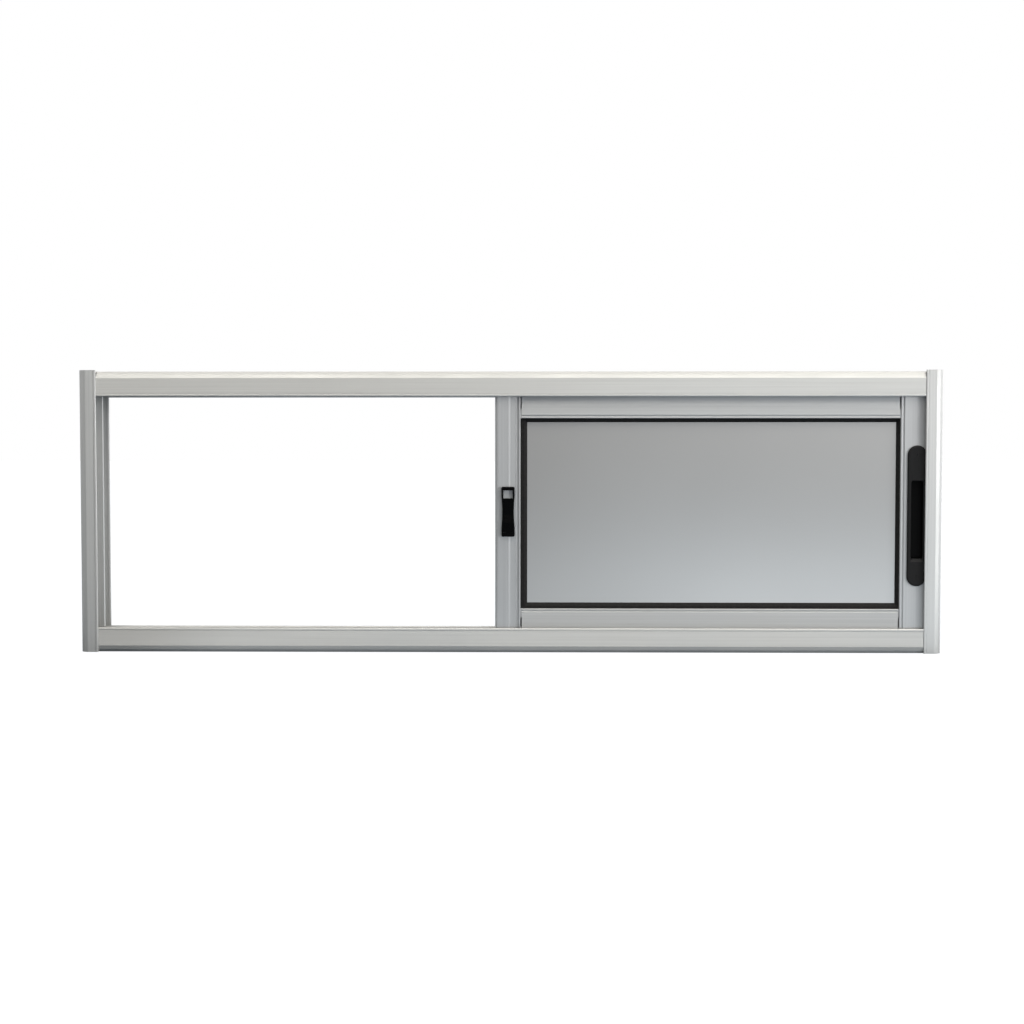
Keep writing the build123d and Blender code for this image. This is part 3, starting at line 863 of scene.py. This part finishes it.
class WINDOW_OT_studio(bpy.types.Operator):
    """Set up the floor, the white surroundings, the lights and the camera"""

    bl_idname = "window.studio"
    bl_label = "Studio"

    def execute(self, context):
        scene = context.scene
        studio = scene.window_studio
        scene.view_settings.view_transform = "Standard"
        self.floor(studio)
        self.surroundings(scene, studio)
        key = (studio.key_place, studio.key_size, studio.key_power, studio.key_colour)
        side = (studio.side_place, studio.side_size, studio.side_power, studio.side_colour)
        self.softbox("Key softbox", *key)
        self.softbox("Side softbox", *side)
        self.camera(scene, studio)
        return {"FINISHED"}

    def math(self, tree, operation, *values):
        """Two values, each a number or another node's output, put together by an operation."""
        node = tree.nodes.new("ShaderNodeMath")
        node.operation = operation
        for socket, value in zip(node.inputs, values):
            if isinstance(value, (int, float)):
                socket.default_value = value
            else:
                tree.links.new(value, socket)
        return node.outputs[0]

    def ramp(self, tree, source, start, stop, low, high):
        """A value that goes from low to high as the source goes from start to stop."""
        node = tree.nodes.new("ShaderNodeMapRange")
        names = ("From Min", "From Max", "To Min", "To Max")
        for name, value in zip(names, (start, stop, low, high)):
            node.inputs[name].default_value = value
        tree.links.new(source, node.inputs["Value"])
        return node.outputs["Result"]

    def seen(self, tree, rays):
        """1 for what the camera sees, directly or through the glass."""
        ways = rays.outputs["Is Camera Ray"], rays.outputs["Is Transmission Ray"]
        return self.math(tree, "MAXIMUM", *ways)

    def product(self, tree, *ramps):
        """Several ramps, each of a coordinate, multiplied together."""
        first, *rest = [self.ramp(tree, source, *limits) for source, limits in ramps]
        for ramp in rest:
            first = self.math(tree, "MULTIPLY", first, ramp)
        return first

    def floor(self, studio):
        """A pale floor, white where it is seen, with a painted glow that metal and glass mirror:
        brightest in front of the glass, and faded out as painted shade along the sill.
        """
        start_clean()
        bpy.ops.mesh.primitive_plane_add(size=FLOOR_SIZE, location=(0.0, 0.0, -FLOOR_DROP))
        floor = bpy.context.object
        floor.name = "studio_floor"
        bpy.ops.object.transform_apply(location=True, rotation=True, scale=True)
        sketch = NodeSketch("Pale floor")
        tree = sketch.tree
        sketch.set(Roughness=0.9, Specular_IOR_Level=0.1)
        clouds = sketch.spread(sketch.noise(scale=3.0))
        sketch.tint(clouds, studio.floor_colour, darker=0.99, lighter=1.01)
        rays = sketch.add("ShaderNodeLightPath")
        seen = self.seen(tree, rays)
        place = sketch.add("ShaderNodeTexCoord")
        axes = sketch.add("ShaderNodeSeparateXYZ")
        sketch.link(place.outputs["Object"], axes.inputs[0])
        across, out = axes.outputs["X"], axes.outputs["Y"]
        # Painted light: for gloss, the floor glows ahead of the window (more at the right) and behind it,
        # with painted shade along the sill.
        strip_edges = (out, STRIP_OUTER_EDGE), (out, STRIP_SILL_EDGE), (across, STRIP_LEFT_EDGE)
        strip = self.product(tree, *strip_edges)
        lit_edges = (out, LIT_SILL_EDGE), (across, LIT_LEFT_EDGE), (out, LIT_FAR_EDGE)
        ahead = self.product(tree, *lit_edges)
        behind = self.ramp(tree, out, *LIT_BEHIND)
        lit = self.math(tree, "MAXIMUM", self.math(tree, "MAXIMUM", strip, ahead), behind)
        lit = self.math(tree, "MULTIPLY", lit, studio.floor_shine)
        mirrored = self.math(tree, "MULTIPLY", rays.outputs["Is Glossy Ray"], lit)
        span = sketch.add("ShaderNodeVectorMath", operation="LENGTH")
        sketch.link(place.outputs["Object"], span.inputs[0])
        glow_there = self.ramp(tree, span.outputs["Value"], *GLOW_REACH, studio.floor_glow, 1.0)
        shown = self.math(tree, "MULTIPLY", seen, glow_there)
        glow = sketch.add("ShaderNodeEmission")
        tone = sketch.add("ShaderNodeMix", data_type="RGBA")
        tone.inputs["A"].default_value = WHITE
        tone.inputs["B"].default_value = (*studio.floor_tone, 1.0)
        sketch.link(rays.outputs["Is Glossy Ray"], tone.inputs["Factor"])
        sketch.link(tone.outputs["Result"], glow.inputs["Color"])
        sketch.link(self.math(tree, "ADD", shown, mirrored), glow.inputs["Strength"])
        both = sketch.add("ShaderNodeAddShader")
        sketch.link(sketch.shader.outputs["BSDF"], both.inputs[0])
        sketch.link(glow.outputs["Emission"], both.inputs[1])
        sketch.link(both.outputs["Shader"], sketch.output.inputs["Surface"])
        floor.data.materials.append(sketch.material)

    def surroundings(self, scene, studio):
        """White where it is seen, and behind the window in gloss; a dim room elsewhere."""
        world = bpy.data.worlds.new("White surroundings")
        scene.world = world
        world.use_nodes = True
        tree = world.node_tree
        place = tree.nodes.new("ShaderNodeTexCoord")
        axes = tree.nodes.new("ShaderNodeSeparateXYZ")
        tree.links.new(place.outputs["Generated"], axes.inputs[0])
        rays = tree.nodes.new("ShaderNodeLightPath")
        seen = self.seen(tree, rays)
        across, out, up = (axes.outputs[name] for name in ("X", "Y", "Z"))
        leftwards = self.math(tree, "MULTIPLY", across, BACKDROP_AIM[0])
        outwards = self.math(tree, "MULTIPLY", out, BACKDROP_AIM[1])
        behind = self.ramp(tree, self.math(tree, "ADD", leftwards, outwards), *BACKDROP_EDGE)
        left = self.ramp(tree, across, *LEFT_SIDE, studio.gloss_left, studio.gloss_front)
        left = self.math(tree, "MULTIPLY", left, self.ramp(tree, across, *LEFT_END))
        right = self.ramp(tree, across, *RIGHT_SIDE, studio.gloss_front, studio.gloss_right)
        ahead = self.math(tree, "MAXIMUM", left, right)
        ends = self.product(tree, (across, RIGHT_END), (up, OVERHEAD))
        ahead = self.math(tree, "MULTIPLY", ahead, ends)
        gloss = self.math(tree, "MAXIMUM", behind, ahead)
        mirrored = self.math(tree, "MULTIPLY", rays.outputs["Is Glossy Ray"], gloss)
        room = tree.nodes["Background"]
        room.inputs["Color"].default_value = WHITE
        level = self.ramp(tree, out, *ROOM_SIDES, studio.room_front, studio.room_behind)
        tree.links.new(level, room.inputs["Strength"])
        white = tree.nodes.new("ShaderNodeBackground")
        white.inputs["Color"].default_value = WHITE
        white.inputs["Strength"].default_value = 1.0
        mix = tree.nodes.new("ShaderNodeMixShader")
        tree.links.new(self.math(tree, "MAXIMUM", seen, mirrored), mix.inputs["Fac"])
        tree.links.new(room.outputs["Background"], mix.inputs[1])
        tree.links.new(white.outputs["Background"], mix.inputs[2])
        tree.links.new(mix.outputs["Shader"], tree.nodes["World Output"].inputs["Surface"])

    def softbox(self, name, place, size, power, colour):
        """A soft rectangular light that faces the window, out of the camera's sight."""
        start_clean()
        bpy.ops.object.light_add(type="AREA", location=place)
        lamp = bpy.context.object
        lamp.name = name
        lamp.data.shape = "RECTANGLE"
        lamp.data.size, lamp.data.size_y = size
        lamp.data.energy = power
        lamp.data.color = colour
        middle = (cad_low + cad_high) / 2
        lamp.rotation_mode = "QUATERNION"
        lamp.rotation_quaternion = (middle - lamp.location).to_track_quat("-Z", "Y")
        lamp.visible_camera = False

    def camera(self, scene, studio):
        """The camera at the photograph's place."""
        start_clean()
        bpy.ops.object.camera_add(location=studio.camera_place, rotation=studio.camera_turn)
        camera = bpy.context.object
        camera.name = "Studio camera"
        camera.data.sensor_width = studio.camera_sensor
        camera.data.lens = studio.camera_lens
        scene.camera = camera


class WINDOW_PT_sidebar(bpy.types.Panel):
    """Lists the steps that finish the window"""

    bl_idname = "WINDOW_PT_sidebar"
    bl_label = "Sliding window"
    bl_space_type = "VIEW_3D"
    bl_region_type = "UI"
    bl_category = "Sliding window"

    def draw(self, context):
        for operator in OPERATORS:
            self.layout.operator(operator.bl_idname)


SETTINGS = {
    "window_finishes": WindowFinishes,
    "window_fittings": WindowFittings,
    "window_studio": WindowStudio,
}
OPERATORS = (
    WINDOW_OT_frame_finish,
    WINDOW_OT_sash_finish,
    WINDOW_OT_glazing_finish,
    WINDOW_OT_hardware_finish,
    WINDOW_OT_handle_screws,
    WINDOW_OT_pile_seals,
    WINDOW_OT_studio,
)
CLASSES = (*SETTINGS.values(), *OPERATORS, WINDOW_PT_sidebar)


def register():
    for cls in CLASSES:
        bpy.utils.register_class(cls)
    for name, group in SETTINGS.items():
        setattr(bpy.types.Scene, name, bpy.props.PointerProperty(type=group))


def unregister():
    for name in SETTINGS:
        delattr(bpy.types.Scene, name)
    for cls in reversed(CLASSES):
        bpy.utils.unregister_class(cls)


def main():
    register()
    bpy.ops.window.frame_finish()
    bpy.ops.window.sash_finish()
    bpy.ops.window.glazing_finish()
    bpy.ops.window.hardware_finish()
    bpy.ops.window.handle_screws()
    bpy.ops.window.pile_seals()
    bpy.ops.window.studio()
    start_clean()


if __name__ == "__main__":
    main()
